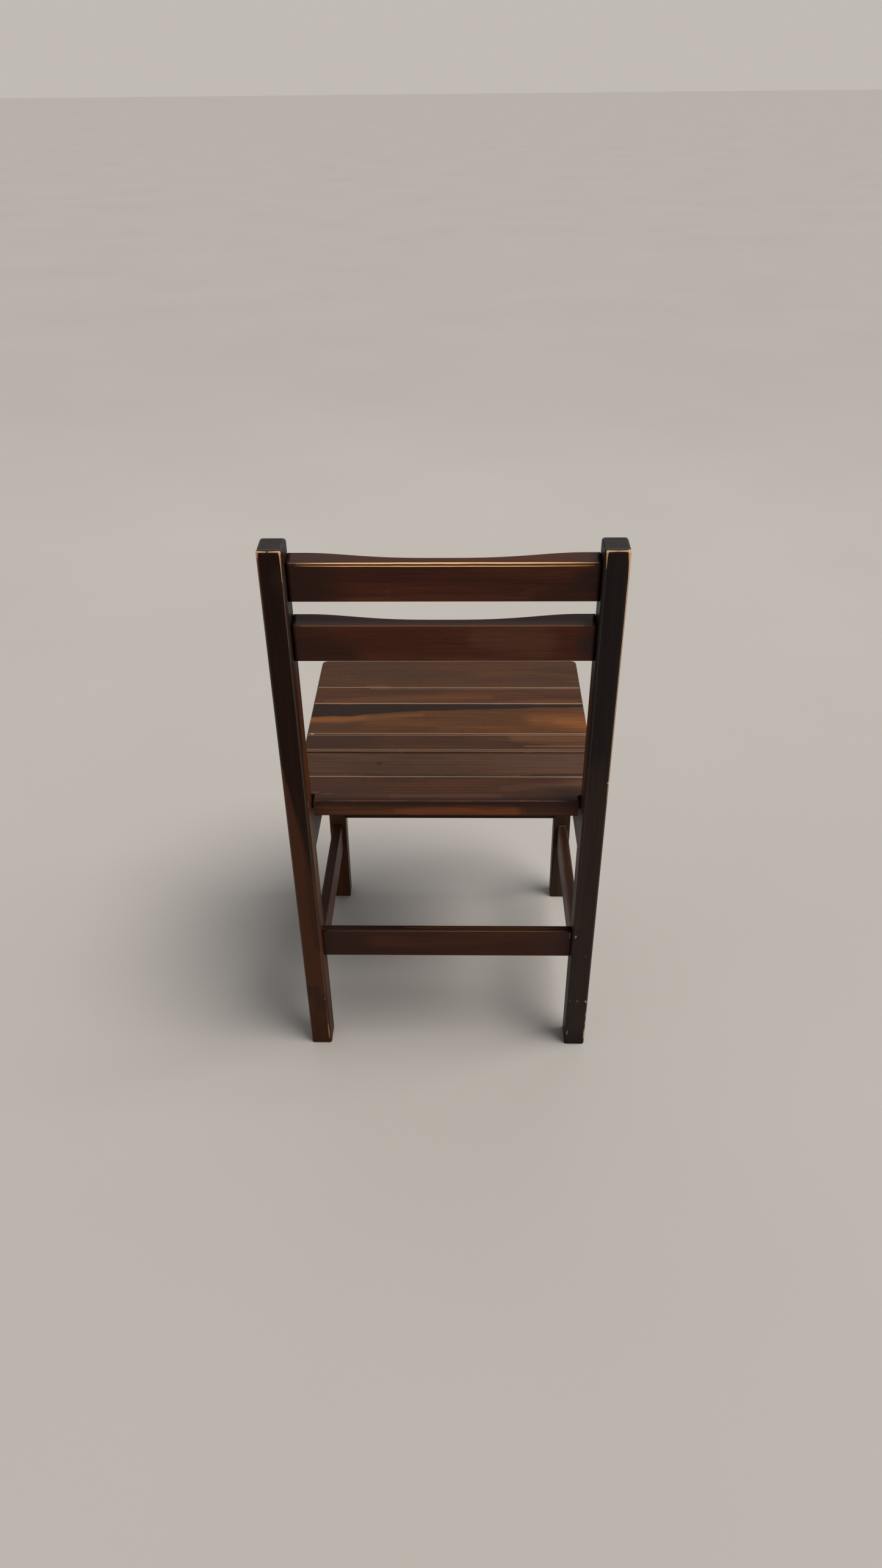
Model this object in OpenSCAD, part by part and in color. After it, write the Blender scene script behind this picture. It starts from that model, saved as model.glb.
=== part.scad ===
// Slat-back wooden side chair: raked one-piece rear posts, six-board seat,
// two hollowed back slats, aprons and stretchers tenoned into the legs.
// Frame: Z up, front towards -Y, sitter's left towards +X, origin on the floor
// under the middle of the chair's outer box. Millimetres.

/* [Overall] */
// Width over the posts and over the front legs
chair_w = 414; // [390:1:440]
// Height of the posts' upper back edge
post_h = 811; // [790:1:850]
// Height of the seat's top face
seat_h = 450; // [435:1:460]
// Distance from the rear feet's back faces to the front legs' back faces
leg_gap = 360; // [350:1:368]

/* [Rear posts] */
// Width of a post, left to right
post_w = 30; // [28:1:34]
// Depth of a post, square to its length
post_d = 37; // [35:1:42]
// Backward lean of the posts, degrees
post_rake = 4.2; // [3:0.1:5]
// Radius on the posts' long edges
post_ease = 3.5; // [1:0.5:5]
// Radius on the posts' top edges
post_top_ease = 4; // [1:0.5:5]

/* [Front legs] */
// Width and depth of a front leg
leg_w = 28; // [26:1:30]
// Radius on the front legs' long edges
leg_ease = 2.5; // [1:0.5:4]

/* [Back slats] */
// Height of each slat
slat_h = 48; // [42:1:50]
// Distance from the floor to the top slat's upper edge, along the post
top_slat_z = 795; // [790:1:800]
// Clear gap between the two slats
slat_gap = 30; // [24:1:34]
// Thickness of a slat at its ends
slat_end_t = 29; // [26:1:30]
// Thickness of a slat in its hollowed middle
slat_mid_t = 15; // [14:1:18]
// How far a slat's back face lies in front of the posts' back faces
slat_recess = 7; // [5:1:8]
// Radius on the slats' back edges
slat_ease = 2; // [1:0.5:4]

/* [Seat] */
// Widths of the six boards, front to rear
board_w = [94.5, 51.3, 90.4, 50.9, 65.3, 56.6];
// Thickness of the boards
seat_t = 24; // [20:1:26]
// How far the seat's rear edge lies behind the rear feet's back faces
seat_rear = 9.5; // [6:0.5:14]
// Width of the seat at its rear edge
seat_rear_w = 401; // [395:1:405]
// Width of the seat at its front edge
seat_front_w = 407; // [402:1:411]
// Radius of the seat's front corners
seat_corner_r = 9; // [6:1:22]
// Chamfer on the boards' long upper edges
board_ease = 2; // [0.5:0.5:2.5]
// Closed joint between two boards
seam = 0.3; // [0.2:0.1:0.6]
// Open joint between the fourth and the fifth board
open_seam = 1.8; // [0.8:0.1:2]
// Clearance between the seat and the posts' inner faces
notch_gap = 3.5; // [2:0.5:5]

/* [Rails and stretchers] */
// Thickness of the aprons
apron_t = 20; // [16:1:22]
// Height of the aprons
apron_h = 67; // [55:1:72]
// Thickness of the side and front stretchers
stretcher_t = 15; // [12:1:16]
// Thickness of the rear stretcher
rear_stretcher_t = 12; // [10:1:15]
// Height of the stretchers
stretcher_h = 49; // [40:1:50]
// Floor to the underside of the side stretchers
side_stretcher_z = 107; // [95:1:112]
// Floor to the underside of the front stretcher
front_stretcher_z = 165; // [163:1:200]
// Rear stretcher's underside, measured along the post
rear_stretcher_z = 177; // [170:1:210]
// How far the rear stretcher lies in front of the posts' back faces
rear_stretcher_recess = 11; // [8:1:14]

/* [Hidden] */
$fn = 48;

left = 1;
right = -1;
big = 1000;

post_wood = [0.20, 0.12, 0.09];
slat_wood = [0.27, 0.13, 0.09];
seat_wood = [0.36, 0.21, 0.13];
raw_wood = [0.66, 0.50, 0.33];
screw_steel = [0.62, 0.62, 0.60];

// Posts and legs: centres, inner faces and lengths
post_x = (chair_w - post_w) / 2;
post_in = chair_w / 2 - post_w;
leg_x = (chair_w - leg_w) / 2;
leg_in = chair_w / 2 - leg_w;
leg_front = leg_gap + leg_w;
post_len = post_h / cos(post_rake);

// Seat: under face, depth, and each board's front edge as a distance
// forward of the rear feet's back faces
seat_under = seat_h - seat_t;
seat_d = board_w[0] + board_w[1] + board_w[2] + board_w[3] + board_w[4] + board_w[5];
seat_front = seat_d - seat_rear;
function board_front(i) = i == 0 ? seat_front : board_front(i - 1) - board_w[i - 1];

// The chair's outer box runs from the seat's front edge to the posts' tops
post_top_back = post_h * tan(post_rake);
mid_y = (seat_front - post_top_back) / 2;

// Tenons: length, thickness, and the shoulder left above and below
tenon_l = 10;
tenon_t = 8;
tenon_shoulder = 6;

// Aprons stand on the legs' centres, 9 mm in from their outer faces
apron_in = post_in + 1;
apron_z = seat_under - apron_h;
front_apron_setback = 3;
stretcher_x = leg_x + 0.5;

// Notch in the last board around each post
notch_front = 7;

// Cleats, bearer and corner blocks under the seat
cleat_w = 20;
cleat_rear = 48;
cleat_front = 350;
bearer_h = 14;
bearer_rear = 28;
bearer_front = 46;
block_leg = 46;
block_h = 25;

// Countersunk wood screws
screw_r = 2;
screw_head_r = 4;
screw_head_h = 2.4;
seat_screw_l = 32;
bearer_screw_l = 27;
block_screw_l = 26;
block_screw_in = 14;
block_bore_deep = 60;
// A board wider than this takes two screws at each cleat
two_screw_w = 60;
screw_spread = 18;

// Chair frame: y = 0 at the rear feet's back faces, forward is -y
module in_chair() translate([0, mid_y, 0]) children();
// Post frame: leans with the posts, y = 0 on their back faces
module along_post() in_chair() rotate([-post_rake, 0, 0]) children();

// Rectangle with rounded corners, its first corner at the origin
module eased_rect(w, d, r) {
    translate([r, 0]) square([w - 2 * r, d]);
    translate([0, r]) square([w, d - 2 * r]);
    for (x = [r, w - r], y = [r, d - r]) translate([x, y]) circle(r);
}

// Box given by its low corner and its high corner
module block(low, high) translate(low) cube(high - low);

// Everything behind the posts' raked front faces
module behind_post_front() {
    along_post() block([-big, -post_d, -big], [big, big, 2 * big]);
}

// Square bar with rounded long edges and a rounded top, standing on z = 0
module post_bar() {
    foot = post_d;
    intersection() {
        translate([-post_w / 2, -post_d, -foot])
            linear_extrude(post_len + foot) eased_rect(post_w, post_d, post_ease);
        translate([-post_w / 2, 1, -foot - post_d]) rotate([90, 0, 0])
            linear_extrude(post_d + 2)
                eased_rect(post_w, post_len + foot + post_d, post_top_ease);
        translate([-post_w, -post_d, -foot - post_d]) rotate([90, 0, 90])
            linear_extrude(2 * post_w)
                eased_rect(post_d, post_len + foot + post_d, post_top_ease);
    }
}

module post(side) {
    color(post_wood) difference() {
        intersection() {
            along_post() translate([side * post_x, 0, 0]) post_bar();
            block([-big, -big, 0], [big, big, big]);
        }
        slat_tenons(top_slat_z - slat_h);
        slat_tenons(top_slat_z - 2 * slat_h - slat_gap);
        rear_stretcher_tenons();
        apron_tenons(side);
        side_stretcher_tenons(side);
    }
}

module front_leg(side) {
    color(post_wood) difference() {
        in_chair() translate([side * leg_x - leg_w / 2, -leg_front, 0])
            linear_extrude(seat_under) eased_rect(leg_w, leg_w, leg_ease);
        apron_tenons(side);
        side_stretcher_tenons(side);
        front_apron_tenons();
        front_stretcher_tenons();
    }
}

// Back slats: flat behind, hollowed in front between two thick ends
slat_flat_end = 18;
slat_steps = 36;
hollow_power = 1.5;
function slat_t(x) =
    let (run = post_in - slat_flat_end, u = min(1, abs(x) / run))
    slat_mid_t + (slat_end_t - slat_mid_t) * (1 - cos(180 * pow(u, hollow_power))) / 2;

module slat_plan() {
    xs = [for (k = [0 : slat_steps]) post_in * (2 * k / slat_steps - 1)];
    polygon(concat(
        [[post_in, -slat_recess], [-post_in, -slat_recess]],
        [for (x = xs) [x, -slat_recess - slat_t(x)]]
    ));
}

module slat_tenons(z) {
    reach = post_in + tenon_l;
    mid = slat_recess + slat_mid_t / 2;
    along_post() block(
        [-reach, -mid - tenon_t / 2, z + tenon_shoulder],
        [reach, -mid + tenon_t / 2, z + slat_h - tenon_shoulder]);
}

module slat(z) {
    color(slat_wood) union() {
        along_post() intersection() {
            translate([0, 0, z]) linear_extrude(slat_h) slat_plan();
            // rounds the back edges only: the front ones are cut away by the hollow
            translate([-post_in, -slat_recess - 2 * slat_end_t, z]) rotate([90, 0, 90])
                linear_extrude(2 * post_in) eased_rect(2 * slat_end_t, slat_h, slat_ease);
        }
        slat_tenons(z);
    }
}

// Seat outline in plan: slight taper to the rear, round front corners,
// a notch for each post
module seat_outline() {
    r = seat_corner_r;
    difference() {
        polygon([
            [-seat_rear_w / 2, seat_rear], [seat_rear_w / 2, seat_rear],
            [seat_front_w / 2, -seat_front], [-seat_front_w / 2, -seat_front]
        ]);
        for (s = [left, right]) {
            translate([s * seat_front_w / 2, -seat_front]) square(2 * r, center = true);
            translate([s * (post_in - notch_gap + post_w), notch_front])
                square([2 * post_w, 4 * notch_front], center = true);
        }
    }
    for (s = [left, right])
        translate([s * (seat_front_w / 2 - r), r - seat_front]) circle(r);
}

// One board's section: rectangle with chamfered long upper edges
module board_section(w) {
    polygon([
        [0, 0], [w, 0], [w, seat_t - board_ease], [w - board_ease, seat_t],
        [board_ease, seat_t], [0, seat_t - board_ease]
    ]);
}

module seat_board(i) {
    gap_behind = i == 3 ? open_seam : seam;
    color(seat_wood) difference() {
        in_chair() intersection() {
            translate([-big / 2, -board_front(i), seat_under]) rotate([90, 0, 90])
                linear_extrude(big) board_section(board_w[i] - gap_behind);
            translate([0, 0, seat_under]) linear_extrude(seat_t) seat_outline();
        }
        seat_screws_all();
    }
}

// Side aprons and side stretchers run from the raked posts to the front legs
module side_rail(x_in, t, z, h) {
    difference() {
        in_chair() block([x_in, -leg_gap, z], [x_in + t, 0, z + h]);
        behind_post_front();
    }
}

module side_tenons(x_mid, z, h) {
    rear_end = post_d - z * tan(post_rake) - tenon_l;
    in_chair() block(
        [x_mid - tenon_t / 2, -leg_gap - tenon_l, z + tenon_shoulder],
        [x_mid + tenon_t / 2, -rear_end, z + h - tenon_shoulder]);
}

module mirrored(side) mirror([side == right ? 1 : 0, 0, 0]) children();

module apron_tenons(side)
    mirrored(side) side_tenons(apron_in + apron_t / 2, apron_z, apron_h);

module side_apron(side) {
    color(post_wood) difference() {
        union() {
            mirrored(side) side_rail(apron_in, apron_t, apron_z, apron_h);
            apron_tenons(side);
        }
        block_screws_all();
    }
}

module side_stretcher_tenons(side)
    mirrored(side) side_tenons(stretcher_x, side_stretcher_z, stretcher_h);

module side_stretcher(side) {
    color(post_wood) union() {
        mirrored(side) side_rail(
            stretcher_x - stretcher_t / 2, stretcher_t, side_stretcher_z, stretcher_h);
        side_stretcher_tenons(side);
    }
}

// Front apron and front stretcher run between the front legs
module cross_rail(reach, y_mid, t, z, h) {
    in_chair() block([-reach, -y_mid - t / 2, z], [reach, -y_mid + t / 2, z + h]);
}

front_apron_y = leg_front - front_apron_setback - apron_t / 2;

module front_apron_tenons()
    cross_rail(leg_in + tenon_l, front_apron_y, tenon_t,
        apron_z + tenon_shoulder, apron_h - 2 * tenon_shoulder);

module front_apron() {
    color(post_wood) difference() {
        union() {
            cross_rail(leg_in, front_apron_y, apron_t, apron_z, apron_h);
            front_apron_tenons();
        }
        block_screws_all();
    }
}

front_stretcher_y = leg_gap + leg_w / 2;

module front_stretcher_tenons()
    cross_rail(leg_in + tenon_l, front_stretcher_y, tenon_t,
        front_stretcher_z + tenon_shoulder, stretcher_h - 2 * tenon_shoulder);

module front_stretcher() {
    color(post_wood) union() {
        cross_rail(leg_in, front_stretcher_y, stretcher_t, front_stretcher_z, stretcher_h);
        front_stretcher_tenons();
    }
}

// The rear stretcher leans with the posts
module rear_stretcher_tenons() {
    reach = post_in + tenon_l;
    mid = rear_stretcher_recess + rear_stretcher_t / 2;
    along_post() block(
        [-reach, -mid - tenon_t / 2, rear_stretcher_z + tenon_shoulder],
        [reach, -mid + tenon_t / 2, rear_stretcher_z + stretcher_h - tenon_shoulder]);
}

module rear_stretcher() {
    color(slat_wood) union() {
        along_post() block(
            [-post_in, -rear_stretcher_recess - rear_stretcher_t, rear_stretcher_z],
            [post_in, -rear_stretcher_recess, rear_stretcher_z + stretcher_h]);
        rear_stretcher_tenons();
    }
}

// Bearer across the rear, under the last board
module rear_bearer() {
    color(raw_wood) difference() {
        in_chair() block(
            [-apron_in, -bearer_front, seat_under - bearer_h],
            [apron_in, -bearer_rear, seat_under]);
        seat_screws_all();
    }
}

// Cleats along the side aprons, which join the six boards
module seat_cleat(side) {
    color(raw_wood) difference() {
        mirrored(side) in_chair() block(
            [apron_in - cleat_w, -cleat_front, seat_under - cleat_w],
            [apron_in, -cleat_rear, seat_under]);
        seat_screws_all();
    }
}

// Corner blocks in the front corners, below the cleats
block_top = seat_under - cleat_w - 2;
block_y = front_apron_y - apron_t / 2;

module corner_block(side) {
    color(raw_wood) difference() {
        mirrored(side) in_chair() translate([0, 0, block_top - block_h])
            linear_extrude(block_h) polygon([
                [apron_in, -block_y], [apron_in, block_leg - block_y],
                [apron_in - block_leg, -block_y]
            ]);
        block_screws_all();
    }
}

// Countersunk screw pointing up +z, its head's flat on z = 0
module screw(l) {
    cylinder(h = screw_head_h, r1 = screw_head_r, r2 = screw_r);
    cylinder(h = l, r = screw_r);
}

// Screw places along the seat: each board's middle, or two in a wide board
function screw_rows(i) =
    let (mid = board_front(i) - board_w[i] / 2)
    board_w[i] > two_screw_w ? [mid + screw_spread, mid - screw_spread] : [mid];

module seat_screws_all() {
    cleat_rows = [for (i = [0 : 4]) for (v = screw_rows(i)) v];
    last_x = apron_in - cleat_w / 2;
    in_chair() {
        for (s = [left, right], v = cleat_rows)
            if (v < cleat_front - screw_head_r && v > cleat_rear + screw_head_r)
                translate([s * last_x, -v, seat_under - cleat_w]) screw(seat_screw_l);
        for (x = [-last_x, 0, last_x])
            translate([x, -(bearer_rear + bearer_front) / 2, seat_under - bearer_h])
                screw(bearer_screw_l);
    }
}

module seat_screws() color(screw_steel) seat_screws_all();

// Two screws in each corner block, one into each apron, in counterbores
module block_screw_pair(bore) {
    translate([apron_in - block_screw_in, block_leg - block_y - block_screw_in, 0])
        rotate([0, 90, 0]) bored_screw(bore);
    translate([apron_in - block_leg + block_screw_in, block_screw_in - block_y, 0])
        rotate([90, 0, 0]) bored_screw(bore);
}

module bored_screw(bore) {
    screw(block_screw_l);
    if (bore) translate([0, 0, -block_bore_deep]) cylinder(h = block_bore_deep, r = screw_head_r);
}

module block_screws_all(bore = true) {
    for (side = [left, right]) mirrored(side) in_chair()
        translate([0, 0, block_top - block_h / 2]) block_screw_pair(bore);
}

module block_screws() color(screw_steel) block_screws_all(bore = false);

post(left);  // post_left
post(right);  // post_right
front_leg(left);  // front_leg_left
front_leg(right);  // front_leg_right
slat(top_slat_z - slat_h);  // top_slat
slat(top_slat_z - 2 * slat_h - slat_gap);  // lower_slat
seat_board(0);  // seat_board_1
seat_board(1);  // seat_board_2
seat_board(2);  // seat_board_3
seat_board(3);  // seat_board_4
seat_board(4);  // seat_board_5
seat_board(5);  // seat_board_6
side_apron(left);  // side_apron_left
side_apron(right);  // side_apron_right
front_apron();
rear_bearer();
side_stretcher(left);  // side_stretcher_left
side_stretcher(right);  // side_stretcher_right
front_stretcher();
rear_stretcher();
seat_cleat(left);  // seat_cleat_left
seat_cleat(right);  // seat_cleat_right
corner_block(left);  // corner_block_left
corner_block(right);  // corner_block_right
seat_screws();
block_screws();
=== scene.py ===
import math

import bmesh
import bpy
from mathutils import Matrix, Vector


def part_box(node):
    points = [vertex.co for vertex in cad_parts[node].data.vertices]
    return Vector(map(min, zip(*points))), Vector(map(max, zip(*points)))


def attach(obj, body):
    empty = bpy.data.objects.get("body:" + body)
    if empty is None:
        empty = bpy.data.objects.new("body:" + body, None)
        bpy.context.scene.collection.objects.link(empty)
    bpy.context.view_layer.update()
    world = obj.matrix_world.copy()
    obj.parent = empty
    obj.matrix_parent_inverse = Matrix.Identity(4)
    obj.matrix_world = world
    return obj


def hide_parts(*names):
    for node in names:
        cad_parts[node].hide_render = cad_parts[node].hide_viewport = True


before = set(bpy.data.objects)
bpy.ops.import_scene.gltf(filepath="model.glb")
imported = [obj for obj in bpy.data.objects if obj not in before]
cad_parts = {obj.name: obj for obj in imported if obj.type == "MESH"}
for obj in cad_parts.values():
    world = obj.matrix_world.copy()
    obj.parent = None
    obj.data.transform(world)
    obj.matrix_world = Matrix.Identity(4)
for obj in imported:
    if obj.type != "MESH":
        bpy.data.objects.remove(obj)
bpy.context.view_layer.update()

# ---------------------------------------------------------------- studio
# A plain pale floor under soft studio light: one broad high lamp from the
# chair's right rear side, and a wide panel in front that gives the lacquer
# its sheen. None of it is part of the chair.


def display(red, green, blue):
    """Linear colour for red, green and blue as a screen shows them, 0 to 255."""
    def linear(part):
        part /= 255
        return part / 12.92 if part <= 0.04045 else ((part + 0.055) / 1.055) ** 2.4
    return (linear(red), linear(green), linear(blue), 1.0)


def feed(tree, node, inputs):
    """Gives a node its inputs: numbers, colours or the sockets that feed them."""
    for name, value in inputs.items():
        if isinstance(value, bpy.types.NodeSocket):
            tree.links.new(value, node.inputs[name])
        else:
            node.inputs[name].default_value = value


def add(tree, kind, inputs=None, **settings):
    """Puts a node in a tree, with its settings and then its inputs."""
    node = tree.nodes.new(kind)
    for name, value in settings.items():
        setattr(node, name, value)
    feed(tree, node, inputs or {})
    return node


def mixed(tree, share, first, second):
    """A blend of two colours by a share, from 0 for the first to 1 for the second."""
    return add(tree, "ShaderNodeMix", {0: share, 6: first, 7: second},
               data_type="RGBA").outputs[2]


def new_material(name):
    """An empty material with its Principled shader wired to the output."""
    material = bpy.data.materials.new(name)
    material.use_nodes = True
    tree = material.node_tree
    tree.nodes.clear()
    shader = add(tree, "ShaderNodeBsdfPrincipled")
    add(tree, "ShaderNodeOutputMaterial", {"Surface": shader.outputs["BSDF"]})
    return material, tree, shader


floor_reach = 60.0
floor_drop = 0.0002
bm = bmesh.new()
bmesh.ops.create_grid(bm, x_segments=1, y_segments=1, size=floor_reach)
bmesh.ops.translate(bm, vec=(0, 0, -floor_drop), verts=bm.verts)
floor_mesh = bpy.data.meshes.new("studio_floor")
bm.to_mesh(floor_mesh)
bm.free()
floor = bpy.data.objects.new("studio_floor", floor_mesh)
bpy.context.scene.collection.objects.link(floor)

floor_material, tree, shader = new_material("pale_floor")
where = add(tree, "ShaderNodeTexCoord").outputs["Object"]
cloud = add(tree, "ShaderNodeTexNoise", {"Vector": where, "Scale": 1.3, "Detail": 3.0})
pale = mixed(tree, cloud.outputs["Fac"], display(196, 190, 183), display(204, 198, 191))
feed(tree, shader, {"Base Color": pale, "Roughness": 0.7, "Specular IOR Level": 0.25})
floor_mesh.materials.append(floor_material)

world = bpy.data.worlds.new("studio_air")
bpy.context.scene.world = world
world.use_nodes = True
tree = world.node_tree
tree.nodes.clear()
air = add(tree, "ShaderNodeBackground", {
    "Color": display(196, 198, 202), "Strength": 0.42})
distance = add(tree, "ShaderNodeBackground", {
    "Color": display(193, 187, 180), "Strength": 1.0})
seen = add(tree, "ShaderNodeLightPath").outputs["Is Camera Ray"]
either = add(tree, "ShaderNodeMixShader", {
    0: seen, 1: air.outputs[0], 2: distance.outputs[0]})
add(tree, "ShaderNodeOutputWorld", {"Surface": either.outputs[0]})

lamp = bpy.data.lights.new("high_lamp", "SUN")
lamp.energy = 2.25
lamp.angle = math.radians(38)
lamp.color = (1.0, 0.97, 0.93)
lamp_object = bpy.data.objects.new("high_lamp", lamp)
bpy.context.scene.collection.objects.link(lamp_object)
to_lamp = Vector((-0.52, 0.24, 1.0))
lamp_object.rotation_euler = to_lamp.to_track_quat("Z", "Y").to_euler()

panel = bpy.data.lights.new("sheen_panel", "AREA")
panel.shape = "RECTANGLE"
panel.size = 3.6
panel.size_y = 1.9
panel.energy = 8
panel_object = bpy.data.objects.new("sheen_panel", panel)
bpy.context.scene.collection.objects.link(panel_object)
panel_object.location = (-0.3, -2.3, 2.3)
seat_middle = Vector((0, 0, 0.5))
to_panel = panel_object.location - seat_middle
panel_object.rotation_euler = to_panel.to_track_quat("Z", "Y").to_euler()
panel_object.visible_camera = False

# ---------------------------------------------------------------- camera
# Someone stands close behind the chair and looks down at it from standing
# height, so the seat shows under the back.

camera = bpy.data.cameras.new("camera")
camera.sensor_width = 36
camera.lens = 25.924
camera_object = bpy.data.objects.new("camera", camera)
bpy.context.scene.collection.objects.link(camera_object)
camera_place = (-0.0217, 1.4091, 1.2627)
camera_turn, camera_tip, camera_roll = 0.0225, 0.5691, -0.0106
camera_object.matrix_world = (
    Matrix.Translation(camera_place)
    @ Matrix.Rotation(math.pi + camera_turn, 4, "Z")
    @ Matrix.Rotation(math.pi / 2 - camera_tip, 4, "X")
    @ Matrix.Rotation(camera_roll, 4, "Z")
)
camera.clip_end = 200
bpy.context.scene.camera = camera_object
bpy.context.scene.view_settings.view_transform = "Standard"

# ---------------------------------------------------------------- rear posts
# One piece of hardwood each from the floor to the top of the back, leaning
# back 4.2 degrees, stained almost black under a satin lacquer. Hands have
# rubbed the upper corners and outer arrises through to the pale wood.

rake = math.radians(4.2)
leg_gap = 0.360
back_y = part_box("front_leg_left")[1].y + leg_gap
post_width = 0.030
post_depth = 0.037
post_rise = 0.811
post_length = post_rise / math.cos(rake)
post_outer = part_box("post_left")[1].x
post_inner = post_outer - post_width
post_ease = 0.0037
foot_ease = 0.0012
spare_foot = 0.02  # drawn below the floor, then cut off level


def on_post(x, depth, along):
    """A point on a leaning post: depth is forward of its back face, along is up its length."""
    return Vector((
        x,
        back_y - depth * math.cos(rake) + along * math.sin(rake),
        depth * math.sin(rake) + along * math.cos(rake),
    ))


def box_of(low, high):
    """A box between two corners, with the vertex layer that marks rounded arrises."""
    bm = bmesh.new()
    bm.verts.layers.float.new("arris")
    bmesh.ops.create_cube(bm, size=1.0)
    low, high = Vector(low), Vector(high)
    bmesh.ops.scale(bm, vec=high - low, verts=bm.verts)
    bmesh.ops.translate(bm, vec=(low + high) / 2, verts=bm.verts)
    return bm


def edges_along(bm, axis):
    """The straight edges that run along x (0), y (1) or z (2)."""
    return [e for e in bm.edges
            if abs((e.verts[0].co - e.verts[1].co).normalized()[axis]) > 0.9]


def edges_at(bm, axis, place, slack=1e-5):
    """The edges that lie wholly at one place on an axis."""
    return [e for e in bm.edges
            if all(abs(v.co[axis] - place) < slack for v in e.verts)]


def ease(bm, edges, radius, segments=5, worn=1.0):
    """Rounds edges, and marks the middle of each rounding in the arris layer."""
    arris = bm.verts.layers.float["arris"]
    made = bmesh.ops.bevel(
        bm, geom=list(set(edges)), offset=radius, offset_type="OFFSET",
        segments=segments, profile=0.5, affect="EDGES", material=-1,
        clamp_overlap=True)
    rounded = set(made["faces"])
    for vert in made["verts"]:
        if all(face in rounded for face in vert.link_faces):
            vert[arris] = worn


def lean(bm):
    """Tips a mesh drawn upright on the posts' back plane into its leaning place."""
    bmesh.ops.rotate(bm, cent=(0, 0, 0), verts=bm.verts,
                     matrix=Matrix.Rotation(-rake, 3, "X"))
    bmesh.ops.translate(bm, vec=(0, back_y, 0), verts=bm.verts)


def piece_from(bm, name, material):
    """Finishes a mesh as the piece that stands for the CAD node of the same name."""
    bmesh.ops.recalc_face_normals(bm, faces=bm.faces)
    for face in bm.faces:
        face.smooth = True
    mesh = bpy.data.meshes.new(name + "_wood")
    bm.to_mesh(mesh)
    bm.free()
    mesh.materials.append(material)
    piece = bpy.data.objects.new(name + "_wood", mesh)
    bpy.context.scene.collection.objects.link(piece)
    flat = piece.modifiers.new("flat_faces", "WEIGHTED_NORMAL")
    flat.weight = 100
    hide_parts(name)
    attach(piece, "root")
    return piece


def group_sockets(group, inputs, outputs):
    """Gives a node group its named sockets, and returns its two end nodes."""
    kinds = {"vector": "NodeSocketVector", "colour": "NodeSocketColor",
             "number": "NodeSocketFloat"}
    for name, kind in inputs.items():
        group.interface.new_socket(name=name, in_out="INPUT", socket_type=kinds[kind])
    for name, kind in outputs.items():
        group.interface.new_socket(name=name, in_out="OUTPUT", socket_type=kinds[kind])
    return add(group, "NodeGroupInput").outputs, add(group, "NodeGroupOutput").inputs


def reckoned(tree, operation, *values, clamp=False):
    """The result of arithmetic on numbers and sockets."""
    return add(tree, "ShaderNodeMath", dict(enumerate(values)),
               operation=operation, use_clamp=clamp).outputs[0]


def vectors(tree, operation, *values, output="Vector"):
    """The result of arithmetic on vectors; SCALE takes a vector and a number."""
    names = (0, "Scale") if operation == "SCALE" else (0, 1)
    return add(tree, "ShaderNodeVectorMath", dict(zip(names, values)),
               operation=operation).outputs[output]


def ranged(tree, value, start, end, low=0.0, high=1.0, curve="LINEAR"):
    """Maps a value's run from start to end onto one from low to high."""
    return add(tree, "ShaderNodeMapRange", {
        "Value": value, "From Min": start, "From Max": end, "To Min": low, "To Max": high},
        interpolation_type=curve).outputs[0]


def stretched(tree, vector, along, across):
    """Scales a grain vector: few waves along the grain, many across it."""
    return vectors(tree, "MULTIPLY", vector, (along, across, across))


# Stained timber, grain along x: slow drift of the stain, long growth lines,
# and short open pores.
timber = bpy.data.node_groups.new("stained_timber", "ShaderNodeTree")
given, gives = group_sockets(
    timber,
    {"Vector": "vector", "Dark": "colour", "Middle": "colour", "Light": "colour",
     "Drift": "number", "Lines": "number", "Pores": "number"},
    {"Color": "colour", "Height": "number", "Gloss": "number", "Streaks": "number"})
drift = add(timber, "ShaderNodeTexNoise", {
    "Vector": stretched(timber, given["Vector"], 5, 42),
    "Scale": 1.0, "Detail": 3.0, "Roughness": 0.55, "Distortion": 0.4})
lines = add(timber, "ShaderNodeTexNoise", {
    "Vector": stretched(timber, given["Vector"], 9, 340),
    "Scale": 1.0, "Detail": 5.0, "Roughness": 0.68, "Distortion": 0.15})
figure = add(timber, "ShaderNodeTexWave", {
    "Vector": stretched(timber, given["Vector"], 2.2, 46),
    "Scale": 1.0, "Distortion": 5.0, "Detail": 3.0, "Detail Scale": 0.9},
    bands_direction="Y", wave_profile="SAW")
pores = add(timber, "ShaderNodeTexNoise", {
    "Vector": stretched(timber, given["Vector"], 95, 1500),
    "Scale": 1.0, "Detail": 1.0, "Roughness": 0.5})
pore_mask = ranged(timber, pores.outputs["Fac"], 0.60, 0.74, curve="SMOOTHSTEP")


def centred(tree, socket, strength):
    """(value - 0.5) x strength, where strength is a number or a socket."""
    return reckoned(tree, "MULTIPLY", reckoned(tree, "SUBTRACT", socket, 0.5), strength)


drift_part = centred(timber, drift.outputs["Fac"], given["Drift"])
lines_part = centred(timber, lines.outputs["Fac"], given["Lines"])
figure_part = centred(timber, figure.outputs["Fac"],
                      reckoned(timber, "MULTIPLY", given["Lines"], 0.22))
tone = reckoned(timber, "ADD", reckoned(timber, "ADD", drift_part, lines_part), figure_part)
tone = reckoned(timber, "ADD", tone, 0.5, clamp=True)
darker = mixed(timber, ranged(timber, tone, 0.0, 0.5), given["Dark"], given["Middle"])
lighter = mixed(timber, ranged(timber, tone, 0.5, 1.0), darker, given["Light"])
pore_depth = reckoned(timber, "MULTIPLY", pore_mask, given["Pores"])
timber.links.new(mixed(timber, pore_depth, lighter, given["Dark"]), gives["Color"])
relief = reckoned(timber, "SUBTRACT", lines.outputs["Fac"], pore_mask)
timber.links.new(relief, gives["Height"])
timber.links.new(drift.outputs["Fac"], gives["Gloss"])
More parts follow.
